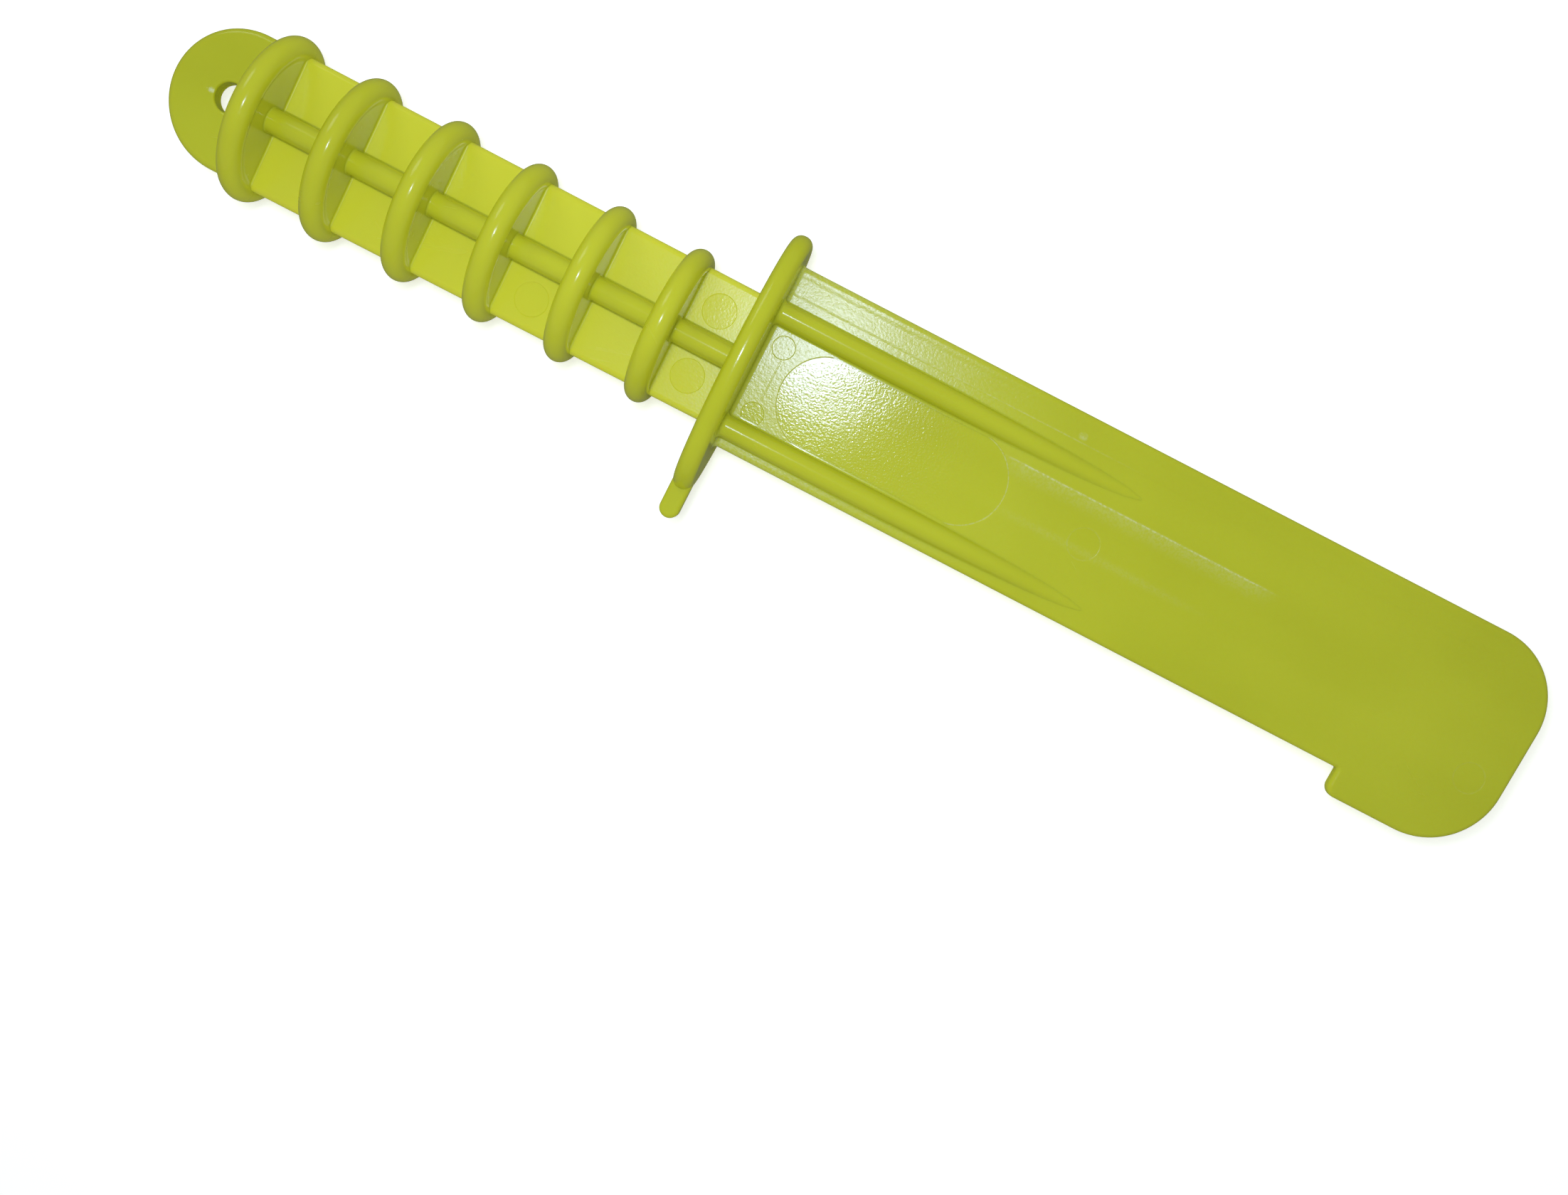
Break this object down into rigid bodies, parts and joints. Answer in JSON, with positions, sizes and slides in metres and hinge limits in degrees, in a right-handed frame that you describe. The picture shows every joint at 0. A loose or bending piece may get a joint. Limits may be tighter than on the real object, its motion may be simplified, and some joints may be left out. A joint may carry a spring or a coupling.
{
  "type": "shellfish pry and measuring tool",
  "caption": "Flat moulded pry tool: a handle of finger rings with a lanyard hole, an oval cross guard with a measuring tongue, and a ribbed, square-ended blade with a measuring hook.",
  "frame": {"origin": "centre of the lanyard hole, on the mid-plane of the handle plate", "axes": "+X along the handle towards the blade tip, +Y towards the plain straight blade edge (the measuring tongue and hook are on -Y), +Z out of the front face, along the lanyard hole"},
  "size_m": [0.2675, 0.0553, 0.031],
  "materials": {
    "moulded_plastic": "gloss, yellow-green, as moulded"
  },
  "bodies": {
    "root": {"lanyard_tab": "moulded_plastic", "handle_plate": "moulded_plastic", "cross_guard": "moulded_plastic", "guard_tongue": "moulded_plastic", "blade_panel": "moulded_plastic", "blade_tip": "moulded_plastic", "grip_ring_1": "moulded_plastic", "grip_ring_2": "moulded_plastic", "grip_ring_3": "moulded_plastic", "grip_ring_4": "moulded_plastic", "grip_ring_5": "moulded_plastic", "grip_ring_6": "moulded_plastic", "spine_front_1": "moulded_plastic", "spine_front_2": "moulded_plastic", "spine_front_3": "moulded_plastic", "spine_front_4": "moulded_plastic", "spine_front_5": "moulded_plastic", "spine_front_6": "moulded_plastic", "spine_back_1": "moulded_plastic", "spine_back_2": "moulded_plastic", "spine_back_3": "moulded_plastic", "spine_back_4": "moulded_plastic", "spine_back_5": "moulded_plastic", "spine_back_6": "moulded_plastic", "blade_rib_front_plain": "moulded_plastic", "blade_rib_front_hook": "moulded_plastic", "blade_rib_back_plain": "moulded_plastic", "blade_rib_back_hook": "moulded_plastic"}
  },
  "joints": []
}
